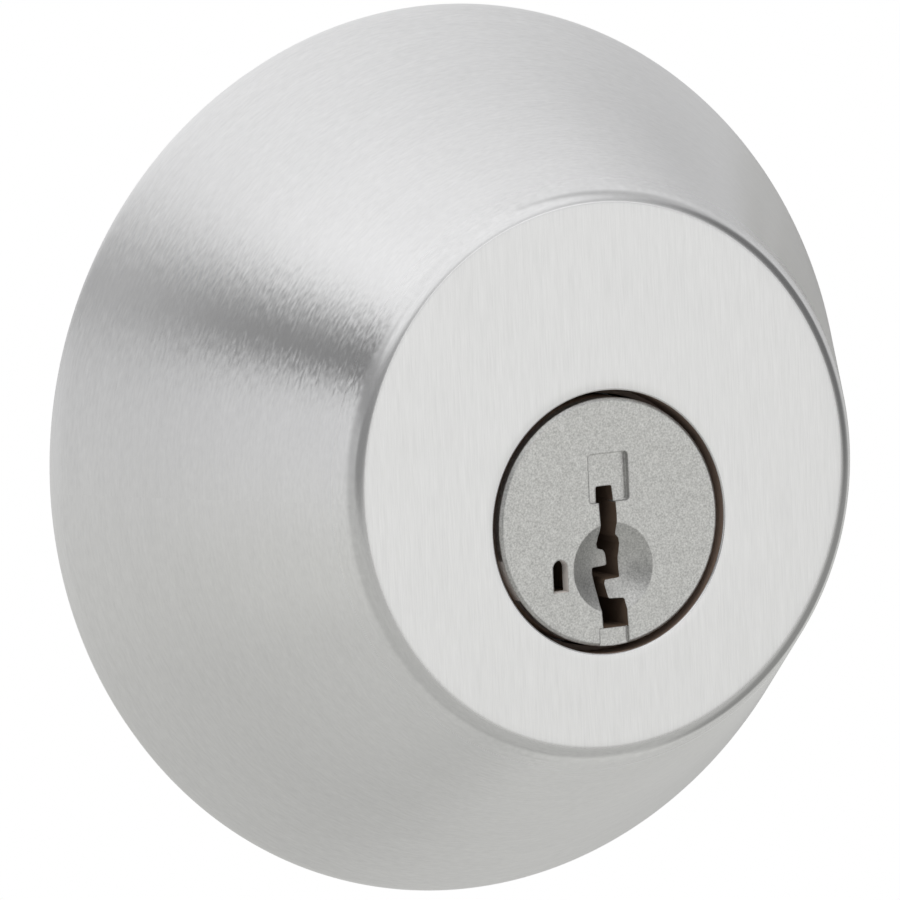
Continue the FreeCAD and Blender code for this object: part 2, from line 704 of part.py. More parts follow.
def faceplate():
    plate = edge_plate(BACKSET, FACEPLATE_HOLE_R)
    for z in (-FACEPLATE_HOLE_Z, FACEPLATE_HOLE_Z):
        start = V(BACKSET - SINK_DEEP, MID_Y, z)
        wide = FACEPLATE_HOLE_R + SINK_WIDER
        plate = plate.cut(Part.makeCone(FACEPLATE_HOLE_R, wide, SINK_DEEP, start, ALONG_X))
    return plate


def backing_plate():
    return edge_plate(BACKSET - FACEPLATE_T, BACKING_HOLE_R)


def case_tabs(spare):
    """The tabs that hold the case on the sleeve's end wall, or with spare their slots."""
    x = (SLEEVE_X - OVER, SLEEVE_X + END_WALL + TAB_REACH)
    z = (-TAB_HALF - spare, TAB_HALF + spare)
    near = CASE_IN_Y - spare
    far = CASE_IN_Y + CASE_WALL + spare
    return [box(x, beside_middle(side, near, far), z) for side in (-1, 1)]


def bolt_sleeve():
    front = BACKSET - 2 * FACEPLATE_T
    tube = rod_x(SLEEVE_R, (SLEEVE_X, front))
    tube = tube.cut(rod_x(SLEEVE_R - SLEEVE_WALL, (SLEEVE_X + END_WALL, front + OVER)))
    tube = tube.cut(bolt_shape((SLEEVE_X - OVER, SLEEVE_X + END_WALL + OVER), BOLT_GAP))
    return cut_all(tube, case_tabs(TAB_PLAY))


def bolt_case():
    out_y = CASE_IN_Y + CASE_WALL
    out_z = CASE_IN_Z + CASE_WALL
    shell = box((CASE_BACK, SLEEVE_X), (MID_Y - out_y, MID_Y + out_y), (-out_z, out_z))
    inner_y = (MID_Y - CASE_IN_Y, MID_Y + CASE_IN_Y)
    inner_x = CASE_BACK + CASE_WALL
    shell = shell.cut(box((inner_x, SLEEVE_X + OVER), inner_y, (-CASE_IN_Z, CASE_IN_Z)))
    # open top for the crank's arm, and a low back wall
    shell = shell.cut(box((inner_x, CASE_TOP_END), inner_y, (0, out_z + OVER)))
    shell = shell.cut(box((CASE_BACK - OVER, inner_x + OVER), inner_y, (CASE_BACK_TOP, out_z + OVER)))
    shell = fuse([shell] + case_tabs(0.0))
    return shell.cut(drive_rod(BUSH_R, (0, DOOR_T)))


def crank_bushes():
    bushes = []
    rim_y = CASE_IN_Y + CASE_WALL
    for side in (-1, 1):
        barrel = drive_rod(BUSH_R, beside_middle(side, CASE_IN_Y, rim_y + BUSH_RIM_T))
        rim = drive_rod(BUSH_R + BUSH_RIM, beside_middle(side, rim_y, rim_y + BUSH_RIM_T))
        bushes.append(fuse([barrel, rim]).cut(drive_rod(JOURNAL_R + RUN, (0, DOOR_T))))
    return Part.makeCompound(bushes)


def crank():
    hub_half = CASE_IN_Y - HUB_GAP
    journal_half = CASE_IN_Y + CASE_WALL + JOURNAL_OUT
    hub = drive_rod(HUB_R, (MID_Y - hub_half, MID_Y + hub_half))
    journal = drive_rod(JOURNAL_R, (MID_Y - journal_half, MID_Y + journal_half))
    arm = drive_box((-ARM_HALF, ARM_HALF), (MID_Y - ARM_T / 2, MID_Y + ARM_T / 2), (0, ARM_R))
    slot_low = YOKE_ARM - YOKE_R - ARM_SLOT_SPARE
    arm = arm.cut(drive_box((-ARM_SLOT_HALF, ARM_SLOT_HALF), (0, DOOR_T), (slot_low, ARM_R + OVER)))
    tips = [e for e in arm.Edges if e.BoundBox.YLength > SAME and e.BoundBox.ZMin > AXIS_Z + ARM_R - SAME]
    arm = arm.makeFillet(ARM_ROUND, tips)
    arm.rotate(V(0, 0, AXIS_Z), ALONG_Y, degrees(REST_SWING))
    return fuse([hub, journal, arm]).cut(blade_bar((0, DOOR_T), BLADE_PLAY))


def tail_plates(x):
    return [box(x, beside_middle(side, *TAIL_Y), TAIL_Z) for side in (-1, 1)]


def bolt():
    bar = bolt_shape((BOLT_REAR, BOLT_FRONT), 0.0)
    front = [e for e in bar.Edges if e.BoundBox.XMin > BOLT_FRONT - SAME]
    bar = bar.makeChamfer(BOLT_NOSE, front)
    bar = bar.cut(rod_x(SAW_PIN_R + SAW_PIN_GAP, (BOLT_REAR - OVER, BOLT_FRONT - SAW_PIN_SKIN)))
    bar = cut_all(bar, tail_plates((BOLT_REAR - OVER, BOLT_REAR + TAIL_IN)))
    return bar.cut(tail_pin())


def bolt_saw_pin():
    return rod_x(SAW_PIN_R, (BOLT_REAR + SAW_PIN_REAR, BOLT_FRONT - SAW_PIN_SKIN - BOLT_GAP))


def tail_pin():
    y = (MID_Y - BOLT_Y / 2, MID_Y + BOLT_Y / 2)
    return rod(TAIL_PIN_R, y, BOLT_REAR + TAIL_IN / 2, sum(TAIL_Z) / 2)


def yoke_pin():
    return rod(YOKE_R, (MID_Y - TAIL_Y[1], MID_Y + TAIL_Y[1]), YOKE_X, YOKE_Z)


def yoke_eye(side):
    """The raised eye at the end of one side plate."""
    y = beside_middle(side, *TAIL_Y)
    eye = rod(EYE_R, y, YOKE_X, YOKE_Z)
    neck = box((YOKE_X - EYE_R, YOKE_X + EYE_R), y, (TAIL_Z[0] + OVER, YOKE_Z))
    leg = box((YOKE_X, YOKE_X + EYE_LEG_LONG), y, (TAIL_Z[0], YOKE_Z))
    return [eye, neck, leg]


def bolt_tail():
    plates = tail_plates((YOKE_X + YOKE_R, BOLT_REAR + TAIL_IN))
    web = box((BOLT_REAR - TAIL_WEB, BOLT_REAR), (MID_Y - TAIL_Y[1], MID_Y + TAIL_Y[1]), TAIL_Z)
    tail = fuse(plates + [web] + yoke_eye(-1) + yoke_eye(1))
    return cut_all(tail, [yoke_pin(), tail_pin()])


def detent_spring():
    """A leaf on the case's floor that rises towards the crank's hub."""
    floor = -CASE_IN_Z
    lower = [(x, floor + rise) for x, rise in LEAF]
    upper = [(x + LEAF_LEAN, z + LEAF_T) for x, z in reversed(lower[1:])]
    upper.append((LEAF[0][0], floor + LEAF_T))
    return prism(lower + upper, (MID_Y - LEAF_HALF, MID_Y + LEAF_HALF))


# ---- inside half ----

def inside_rose():
    outer = [(0, DOOR_T), (ROSE_R, DOOR_T), (ROSE_R, DOOR_T + IN_LIP)]
    outer += [(IN_FACE_R, DOOR_T + IN_ROSE_H), (0, DOOR_T + IN_ROSE_H)]
    shell = lathe(outer)
    shell = round_circle(shell, DOOR_T + IN_LIP, IN_ROUND)
    shell = round_circle(shell, DOOR_T + IN_ROSE_H, IN_ROUND)
    inner_r = ROSE_R - IN_SKIN
    hollow = [(0, DOOR_T - OVER), (inner_r, DOOR_T - OVER), (inner_r, DOOR_T + IN_HOLLOW_STEP)]
    hollow += [(IN_FACE_R - IN_SKIN + IN_HOLLOW_STEP, IN_TOP), (0, IN_TOP)]
    boss_y = (IN_PLATE_BACK, IN_TOP + IN_WALL / 2)
    bosses = [rod(SCREW_HEAD_R + BOSS_WALL, boss_y, 0.0, z) for z in (-SCREW_Z, SCREW_Z)]
    shell = fuse([shell.cut(lathe(hollow))] + bosses)
    through = (DOOR_T, DOOR_T + IN_ROSE_H + OVER)
    recess = (DOOR_T + IN_ROSE_H - HEAD_SINK, DOOR_T + IN_ROSE_H + OVER)
    for z in (-SCREW_Z, SCREW_Z):
        shell = shell.cut(rod(SCREW_R + SCREW_HOLE_SPARE, through, 0.0, z))
        shell = shell.cut(rod(SCREW_HEAD_R + SCREW_HEAD_SPARE, recess, 0.0, z))
    return shell.cut(drive_rod(TURN_BUSH_R, through))


def inside_plate():
    plate = rod(IN_FACE_R, (DOOR_T + PLATE_SINK, IN_PLATE_BACK))
    through = (DOOR_T, IN_PLATE_BACK + OVER)
    holes = [rod(SCREW_R + SCREW_HOLE_SPARE, through, 0.0, z) for z in (-SCREW_Z, SCREW_Z)]
    return cut_all(plate, holes + [drive_rod(TURN_SHAFT_R + RUN, through)])


def grip_outline(half, long_half, y):
    corners = [V(-half, y, AXIS_Z - long_half), V(half, y, AXIS_Z - long_half)]
    corners += [V(half, y, AXIS_Z + long_half), V(-half, y, AXIS_Z + long_half)]
    return Part.makePolygon(corners + [corners[0]])


def grip():
    """The thumbturn's grip: shorter and thicker at its foot than at its top."""
    half = TURN_WIDE / 2
    long_half = TURN_LONG / 2
    foot = grip_outline(half, long_half - TURN_TAPER_LONG, TURN_LOW)
    top = grip_outline(half - TURN_TAPER_WIDE, long_half, DOOR_T + TURN_OUT)
    block = Part.makeLoft([foot, top], True)
    return block.makeFillet(TURN_ROUND, block.Edges)


def thumbturn():
    hub = drive_rod(TURN_HUB_R, (HUB_BACK, TURN_HUB_END))
    shaft = drive_rod(TURN_SHAFT_R, (TURN_SHAFT_END, HUB_BACK + OVER))
    shaft = shaft.cut(drive_ring(TURN_SHAFT_R + OVER, TURN_SHAFT_R - TURN_GROOVE_DEEP, TURN_GROOVE_Y))
    whole = fuse([hub, shaft, grip()])
    return whole.cut(blade_bar((TURN_SHAFT_END - OVER, TURN_SLOT_END), BLADE_PLAY))


def thumbturn_bush():
    return drive_ring(TURN_BUSH_R, TURN_HUB_R + RUN, (IN_TOP, DOOR_T + IN_ROSE_H + TURN_BUSH_OUT))


def thumbturn_clip():
    y = (TURN_GROOVE_Y[0] + CLIP_PLAY, TURN_GROOVE_Y[1] - CLIP_PLAY)
    clip = drive_ring(TURN_CLIP_R, TURN_SHAFT_R - TURN_GROOVE_DEEP + CLIP_PLAY, y)
    mouth = drive_box((-TURN_CLIP_MOUTH, TURN_CLIP_MOUTH), (y[0] - OVER, y[1] + OVER), (-TURN_LONG, 0))
    return clip.cut(mouth)


def wave_washer():
    return drive_ring(*WASHER_R, WASHER_Y)


def mounting_screws():
    screws = []
    low = DOOR_T + IN_ROSE_H - HEAD_SINK
    top = low + SCREW_HEAD_H
    for z in (-SCREW_Z, SCREW_Z):
        head = round_circle(rod(SCREW_HEAD_R, (low, top), 0.0, z), top, SCREW_HEAD_ROUND)
        screw = fuse([rod(SCREW_R, (SCREW_END, low + OVER), 0.0, z), head])
        screws.append(screw.cut(cross_slot(SCREW_SLOT, top, 0.0, z)))
    return Part.makeCompound(screws)


os.makedirs("parts", exist_ok=True)
save("outside_rose", outside_rose())
save("cylinder_guard", cylinder_guard())
save("cylinder_body", cylinder_body())
save("anti_drill_pins", anti_drill_pins())
save("outside_plate", outside_plate())
save("threaded_posts", threaded_posts())
save("cylinder_screws", cylinder_screws())
save("adapter_ring", adapter_ring())
save("plug_body", plug_body())
save("plug_cover", plug_cover())
save("sidebar", sidebar())
save("sidebar_springs", sidebar_springs())
save("carriage", carriage())
save("carriage_spring", carriage_spring())
save("plug_clip", plug_clip())
for number, pin_y in enumerate(PINS_Y, 1):
    save("key_pin_%d" % number, key_pin(pin_y))
    save("pin_spring_%d" % number, pin_spring(pin_y))
    save("wafer_%d" % number, wafer(pin_y))
save("torque_blade", torque_blade())
save("faceplate", faceplate())
save("backing_plate", backing_plate())
save("bolt_sleeve", bolt_sleeve())
save("bolt_case", bolt_case())
save("bolt", bolt())
save("bolt_saw_pin", bolt_saw_pin())
save("bolt_tail", bolt_tail())
save("tail_pin", tail_pin())
save("yoke_pin", yoke_pin())
save("crank", crank())
save("crank_bushes", crank_bushes())
save("detent_spring", detent_spring())
save("inside_rose", inside_rose())
save("inside_plate", inside_plate())
save("thumbturn", thumbturn())
save("thumbturn_bush", thumbturn_bush())
save("thumbturn_clip", thumbturn_clip())
save("wave_washer", wave_washer())
save("mounting_screws", mounting_screws())
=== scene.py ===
import json
from math import cos, pi, radians, sin, tan

import bmesh
import bpy
from mathutils import Matrix, Vector


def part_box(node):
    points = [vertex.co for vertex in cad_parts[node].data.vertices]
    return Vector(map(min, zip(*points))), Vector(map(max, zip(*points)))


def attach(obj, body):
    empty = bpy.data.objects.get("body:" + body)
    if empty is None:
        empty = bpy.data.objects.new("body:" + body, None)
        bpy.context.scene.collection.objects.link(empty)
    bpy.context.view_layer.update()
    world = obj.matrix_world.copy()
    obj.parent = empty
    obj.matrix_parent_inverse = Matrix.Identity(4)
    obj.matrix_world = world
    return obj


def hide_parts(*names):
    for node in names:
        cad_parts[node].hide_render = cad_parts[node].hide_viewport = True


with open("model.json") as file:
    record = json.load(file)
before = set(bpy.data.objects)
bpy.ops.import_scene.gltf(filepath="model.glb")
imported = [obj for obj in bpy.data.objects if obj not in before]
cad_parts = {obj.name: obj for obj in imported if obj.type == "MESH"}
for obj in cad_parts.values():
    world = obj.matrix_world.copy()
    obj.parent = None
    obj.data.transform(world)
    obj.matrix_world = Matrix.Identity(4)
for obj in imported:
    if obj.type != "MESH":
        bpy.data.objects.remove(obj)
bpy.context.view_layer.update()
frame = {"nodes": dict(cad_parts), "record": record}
nodes = frame["nodes"]
MM = 0.001

# ---- sizes and places of the outside half ----

rose_low, rose_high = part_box("outside_rose")
plug_low, plug_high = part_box("plug_body")
ROSE_R = rose_high.x
ROSE_FRONT = rose_low.y
AXIS_Z = (plug_low.z + plug_high.z) / 2
LIP = 1.35 * MM
LIP_ROUND = 2.376 * MM
FACE_R = 19.45 * MM
FACE_ROUND = 1.6 * MM
HOLE_R = 9.05 * MM
ROSE_WALL = 2.2 * MM
ROSE_STEPS = 288


# ---- camera ----

AZIMUTH = radians(-27.9)
ELEVATION = radians(6.85)
ROLL = radians(-2.63)
DISTANCE = 0.4291
AIM = (-0.00016, -0.00011)
LENS = 240.0


def add_camera():
    back = Vector((sin(AZIMUTH) * cos(ELEVATION), -cos(AZIMUTH) * cos(ELEVATION), sin(ELEVATION)))
    right = Vector((cos(AZIMUTH), sin(AZIMUTH), 0))
    up = back.cross(right)
    rolled_right = cos(ROLL) * right + sin(ROLL) * up
    rolled_up = cos(ROLL) * up - sin(ROLL) * right
    place = AIM[0] * rolled_right + AIM[1] * rolled_up + DISTANCE * back
    data = bpy.data.cameras.new("camera")
    data.lens = LENS
    data.sensor_width = 36.0
    data.clip_start = 0.01
    data.clip_end = 20.0
    camera = bpy.data.objects.new("camera", data)
    turn = Matrix((rolled_right, rolled_up, back)).transposed()
    camera.matrix_world = Matrix.Translation(place) @ turn.to_4x4()
    bpy.context.scene.collection.objects.link(camera)
    bpy.context.scene.camera = camera


# ---- node helpers ----

class Shade:
    """A material's or world's node tree with short calls to fill it."""

    def __init__(self, tree):
        self.tree = tree
        self.tree.nodes.clear()

    def node(self, kind, inputs=None, **settings):
        made = self.tree.nodes.new(kind)
        for name, value in settings.items():
            setattr(made, name, value)
        for key, value in (inputs or {}).items():
            self.put(made.inputs[key], value)
        return made

    def put(self, socket, value):
        if isinstance(value, bpy.types.NodeSocket):
            self.tree.links.new(value, socket)
        else:
            socket.default_value = value

    def math(self, operation, a, b=0.0):
        return self.node("ShaderNodeMath", {0: a, 1: b}, operation=operation).outputs[0]

    def product(self, first, *others):
        for other in others:
            first = self.math("MULTIPLY", first, other)
        return first

    def sum_of_squares(self, a, b):
        return self.math("ADD", self.product(a, a), self.product(b, b))

    def split(self, vector):
        made = self.node("ShaderNodeSeparateXYZ", {0: vector})
        return made.outputs["X"], made.outputs["Y"], made.outputs["Z"]

    def join(self, x, y, z):
        return self.node("ShaderNodeCombineXYZ", {0: x, 1: y, 2: z}).outputs[0]

    def noise(self, vector, scale, detail=2.0, roughness=0.5):
        inputs = {"Vector": vector, "Scale": scale, "Detail": detail, "Roughness": roughness}
        return self.node("ShaderNodeTexNoise", inputs).outputs["Fac"]

    def ramp(self, value, stops):
        """Grey levels at places from 0 to 1, eased between."""
        made = self.node("ShaderNodeValToRGB", {0: value})
        ramp = made.color_ramp
        ramp.interpolation = "EASE"
        while len(ramp.elements) < len(stops):
            ramp.elements.new(0.5)
        for element, (place, level) in zip(ramp.elements, stops):
            element.position = place
            element.color = grey(level)
        return made.outputs[0]

    def mix(self, factor, a, b):
        made = self.node("ShaderNodeMix", data_type="RGBA")
        self.put(made.inputs[0], factor)
        self.put(made.inputs[6], a)
        self.put(made.inputs[7], b)
        return made.outputs[2]

    def span(self, value, low, high, to_low, to_high):
        inputs = {"Value": value, "From Min": low, "From Max": high, "To Min": to_low, "To Max": to_high}
        return self.node("ShaderNodeMapRange", inputs).outputs[0]

    def smooth(self, value, low, high):
        """Rises smoothly from 0 at low to 1 at high."""
        inputs = {"Value": value, "From Min": low, "From Max": high}
        return self.node("ShaderNodeMapRange", inputs, interpolation_type="SMOOTHSTEP").outputs[0]

    def mix_value(self, factor, a, b):
        return self.math("ADD", a, self.math("MULTIPLY", factor, self.math("SUBTRACT", b, a)))

    def bump(self, height, distance, strength, normal=None):
        inputs = {"Height": height, "Distance": distance, "Strength": strength}
        if normal is not None:
            inputs["Normal"] = normal
        return self.node("ShaderNodeBump", inputs).outputs[0]


def new_material(name):
    material = bpy.data.materials.new(name)
    material.use_nodes = True
    shade = Shade(material.node_tree)
    return material, shade


def finish_material(shade, inputs):
    shader = shade.node("ShaderNodeBsdfPrincipled", inputs)
    shade.node("ShaderNodeOutputMaterial", {"Surface": shader.outputs[0]})


def grey(value):
    return (value, value, value, 1.0)


# ---- materials ----

# how far the brushing leans the surface sideways: every scratch, and the stray ones
LEAN = 0.02
STRAY_LEAN = 0.031
# slope of the surface, from 0 on a wall to 1 where it faces front: the flat face, and the rounding
FLAT_SLOPE = 0.993
ROUNDING_SLOPE = (0.53, 0.85)
# roughness along the cone from its face to its rim, and on the flat face
CONE_ROUGHNESS = (0.26, 0.44)
FACE_ROUGHNESS = 0.30


def satin_chrome(name, colour):
    """Satin chrome, brushed round its own axis on the sides and straight up on the flat face."""
    material, s = new_material(name)
    x, y, z = s.split(s.node("ShaderNodeTexCoord").outputs["Object"])
    angle = s.math("ARCTAN2", z, x)
    radius = s.math("SQRT", s.sum_of_squares(x, z))
    normal = s.node("ShaderNodeNewGeometry").outputs["Normal"]
    slope = s.math("ABSOLUTE", s.split(normal)[1])
    flat = s.math("GREATER_THAN", slope, FLAT_SLOPE)
    edge = s.product(s.smooth(slope, *ROUNDING_SLOPE), s.math("SUBTRACT", 1.0, flat))
    across = s.math("SUBTRACT", radius, y)
    # short fine scratches that lean the surface sideways, so that they show where the light changes
    scratch = s.join(s.math("MULTIPLY", angle, 32.0), s.math("MULTIPLY", across, 15000.0), 0.0)
    long_scratch = s.join(s.math("MULTIPLY", angle, 5.0), s.math("MULTIPLY", across, 3800.0), 7.0)
    stray_scratch = s.join(s.math("MULTIPLY", angle, 36.0), s.math("MULTIPLY", across, 15000.0), 3.0)
    stray = s.noise(stray_scratch, 1.0, 1.0)
    lean = s.math("ADD", s.span(s.noise(scratch, 1.0, 2.0, 0.6), 0.25, 0.75, -LEAN, LEAN),
                  s.span(stray, 0.28, 0.72, -STRAY_LEAN, STRAY_LEAN))
    lean = s.math("DIVIDE", lean, s.math("MAXIMUM", radius, 0.001))
    sideways = s.join(s.product(z, -1.0, lean), 0.0, s.product(x, lean))
    leaning = s.node("ShaderNodeVectorMath", {0: normal, 1: sideways}, operation="ADD").outputs[0]
    side_normal = s.node("ShaderNodeVectorMath", {0: leaning}, operation="NORMALIZE").outputs[0]
    # tone along the brushing, faint and streaky
    face_streaks = s.join(s.math("MULTIPLY", x, 9000.0), s.math("MULTIPLY", z, 420.0), 5.0)
    broad_streaks = s.join(s.math("MULTIPLY", x, 2200.0), s.math("MULTIPLY", z, 120.0), 3.0)
    fine = s.mix_value(flat, s.noise(scratch, 1.0, 3.0, 0.6), s.noise(face_streaks, 1.0, 3.0, 0.6))
    broad = s.mix_value(flat, s.noise(long_scratch, 1.0), s.noise(broad_streaks, 1.0, 2.0))
    tone = s.math("ADD", s.span(fine, 0.25, 0.75, -0.05, 0.05), s.span(broad, 0.3, 0.7, -0.015, 0.015))
    shine = s.math("ADD", tone, s.span(radius, FACE_R, ROSE_R, 1.0, 1.045))
    tint = s.node("ShaderNodeVectorMath", {0: colour, 3: shine}, operation="SCALE").outputs[0]
    round_axis = s.node("ShaderNodeTangent", direction_type="RADIAL", axis="Y").outputs[0]
    keen_side = s.node("ShaderNodeBsdfPrincipled", {
        "Base Color": tint, "Metallic": 1.0, "Anisotropic": 0.9,
        "Roughness": s.span(radius, FACE_R, ROSE_R, *CONE_ROUGHNESS),
        "Anisotropic Rotation": 0.25, "Normal": side_normal, "Tangent": round_axis})
    # the brushing is rougher and less even towards the rim, which blurs what the cone reflects there
    soft_side = s.node("ShaderNodeBsdfPrincipled", {
        "Base Color": tint, "Metallic": 1.0, "Anisotropic": 0.5, "Roughness": 0.5,
        "Anisotropic Rotation": 0.25, "Normal": side_normal, "Tangent": round_axis})
    near_rim = s.math("MULTIPLY", s.smooth(radius, ROSE_R - 7.75 * MM, ROSE_R), 0.7)
    side = s.node("ShaderNodeMixShader", {0: near_rim, 1: keen_side.outputs[0], 2: soft_side.outputs[0]})
    face = s.node("ShaderNodeBsdfPrincipled", {
        "Base Color": tint, "Metallic": 1.0, "Roughness": FACE_ROUGHNESS, "Anisotropic": 0.7,
        "Tangent": s.node("ShaderNodeTangent", direction_type="RADIAL", axis="Z").outputs[0],
        "Normal": s.bump(fine, 0.00001, 0.3)})
    polished = s.node("ShaderNodeBsdfPrincipled", {
        "Base Color": tint, "Metallic": 1.0, "Roughness": 0.18})
    sides = s.node("ShaderNodeMixShader", {0: edge, 1: side.outputs[0], 2: polished.outputs[0]})
    both = s.node("ShaderNodeMixShader", {0: flat, 1: sides.outputs[0], 2: face.outputs[0]})
    s.node("ShaderNodeOutputMaterial", {"Surface": both.outputs[0]})
    return material


# places on the plug's face, from its own axis
KEYWAY_HALF = 1.3 * MM
KEYWAY_Z = (-7.31 * MM, 3.0 * MM)
POCKET_Z = 1.38 * MM
TOOL_SLOT_X = -3.0 * MM
TOOL_SLOT_Z = -3.3 * MM
# colour of painted shade in the keyway and below the plug's face, and its lighter level beyond a radius
KEYWAY_SHADE_PAINT = (0.10, 0.071, 0.052, 1.0)
RIM_SHADE_PAINT = (0.42, 0.32, 0.26, 1.0)
RIM_FROM = 8.0 * MM


def plug_metal(name, colour, grain):
    """A satin casting with a fine sandy grain, with painted shade in the keyway and below its face."""
    material, s = new_material(name)
    place = s.node("ShaderNodeTexCoord").outputs["Object"]
    x, y, z = s.split(place)
    # painted shade: darker deeper below the face and on the keyway's walls, where shade falls
    depth = s.math("SUBTRACT", y, ROSE_FRONT)
    deep = s.smooth(depth, 0.6 * MM, 1.3 * MM)
    upright = s.math("ABSOLUTE", s.split(s.node("ShaderNodeNewGeometry").outputs["True Normal"])[1])
    wall = s.math("LESS_THAN", upright, 0.4)
    middle = s.math("LESS_THAN", s.math("ABSOLUTE", x), KEYWAY_HALF)
    z_mid = s.math("SUBTRACT", z, AXIS_Z)
    under_top = s.math("LESS_THAN", z_mid, KEYWAY_Z[1])
    over_foot = s.math("GREATER_THAN", z_mid, KEYWAY_Z[0])
    off_pocket = s.math("GREATER_THAN", s.math("ABSOLUTE", s.math("SUBTRACT", z_mid, POCKET_Z)), 0.05 * MM)
    keyway = s.product(wall, middle, under_top, over_foot, off_pocket)
    dark = s.math("MAXIMUM", deep, keyway)
    sand = s.noise(place, grain, 2.0, 0.6)
    coarse = s.noise(place, grain * 0.3, 2.0)
    value = s.math("ADD", s.span(sand, 0.3, 0.7, 0.78, 1.25), s.span(coarse, 0.3, 0.7, -0.05, 0.05))
    tint = s.node("ShaderNodeVectorMath", {0: colour, 3: value}, operation="SCALE").outputs[0]
    edge = s.node("ShaderNodeBevel", {"Radius": 0.00013}, samples=6).outputs[0]
    shader = s.node("ShaderNodeBsdfPrincipled", {
        "Base Color": tint, "Metallic": 0.9, "Roughness": 0.31, "Normal": s.bump(sand, 0.00003, 0.5, edge)})
    # painted light: the tool slot's wall is a pale flat colour, for the light that it catches near the face
    from_slot = s.math("ABSOLUTE", s.math("SUBTRACT", z_mid, TOOL_SLOT_Z))
    slot = s.product(wall, s.math("LESS_THAN", x, TOOL_SLOT_X), s.math("LESS_THAN", from_slot, 1.4 * MM))
    painted_light_wall = s.node("ShaderNodeBsdfDiffuse", {"Color": (0.58, 0.545, 0.515, 1.0)})
    plain = s.node("ShaderNodeMixShader", {0: slot, 1: shader.outputs[0], 2: painted_light_wall.outputs[0]})
    # the painted shade is paler off the axis, in the gap round the plug's head
    off_axis = s.math("SQRT", s.sum_of_squares(x, z_mid))
    rim = s.math("GREATER_THAN", off_axis, RIM_FROM)
    painted_shade = s.node("ShaderNodeBsdfDiffuse", {"Color": s.mix(rim, KEYWAY_SHADE_PAINT, RIM_SHADE_PAINT)})
    both = s.node("ShaderNodeMixShader", {0: dark, 1: plain.outputs[0], 2: painted_shade.outputs[0]})
    s.node("ShaderNodeOutputMaterial", {"Surface": both.outputs[0]})
    return material


def cast_metal(name, colour, grain, roughness):
    """A satin casting with a fine sandy grain."""
    material, s = new_material(name)
    place = s.node("ShaderNodeTexCoord").outputs["Object"]
    sand = s.noise(place, grain, 3.0, 0.65)
    coarse = s.noise(place, grain * 0.22, 2.0)
    value = s.math("ADD", s.span(sand, 0.3, 0.72, 0.86, 1.16), s.span(coarse, 0.3, 0.7, -0.03, 0.03))
    tint = s.node("ShaderNodeVectorMath", {0: colour, 3: value}, operation="SCALE").outputs[0]
    rough = s.span(sand, 0.3, 0.7, roughness + 0.08, roughness - 0.08)
    edge = s.node("ShaderNodeBevel", {"Radius": 0.00008}, samples=4).outputs[0]
    normal = s.bump(sand, 0.00003, 0.5, edge)
    finish_material(s, {"Base Color": tint, "Metallic": 1.0, "Roughness": rough, "Normal": normal})
    return material


def plated_metal(name, colour, roughness):
    """Plated or ground metal with faint mottling and fine scratches."""
    material, s = new_material(name)
    place = s.node("ShaderNodeTexCoord").outputs["Object"]
    cloud = s.noise(place, 240.0, 4.0, 0.6)
    x, y, z = s.split(place)
    scratch = s.noise(s.join(s.math("MULTIPLY", x, 700.0), s.math("MULTIPLY", y, 700.0),
                             s.math("MULTIPLY", z, 6000.0)), 1.0, 3.0, 0.6)
    value = s.math("ADD", s.span(cloud, 0.3, 0.7, 0.95, 1.05), s.span(scratch, 0.3, 0.7, -0.03, 0.03))
    tint = s.node("ShaderNodeVectorMath", {0: colour, 3: value}, operation="SCALE").outputs[0]
    rough = s.span(cloud, 0.3, 0.7, roughness - 0.05, roughness + 0.07)
    edge = s.node("ShaderNodeBevel", {"Radius": 0.00012}, samples=4).outputs[0]
    normal = s.bump(scratch, 0.00001, 0.3, edge)
    finish_material(s, {"Base Color": tint, "Metallic": 1.0, "Roughness": rough, "Normal": normal})
    return material


def moulded(name, colour, roughness):
    """Moulded nylon with a faint spark-eroded texture."""
    material, s = new_material(name)
    place = s.node("ShaderNodeTexCoord").outputs["Object"]
    grain = s.noise(place, 3200.0, 2.0)
    cloud = s.noise(place, 160.0, 2.0)
    value = s.span(cloud, 0.3, 0.7, 0.94, 1.06)
    tint = s.node("ShaderNodeVectorMath", {0: colour, 3: value}, operation="SCALE").outputs[0]
    edge = s.node("ShaderNodeBevel", {"Radius": 0.00015}, samples=4).outputs[0]
    normal = s.bump(grain, 0.00002, 0.4, edge)
    finish_material(s, {"Base Color": tint, "Roughness": roughness, "Normal": normal})
    return material


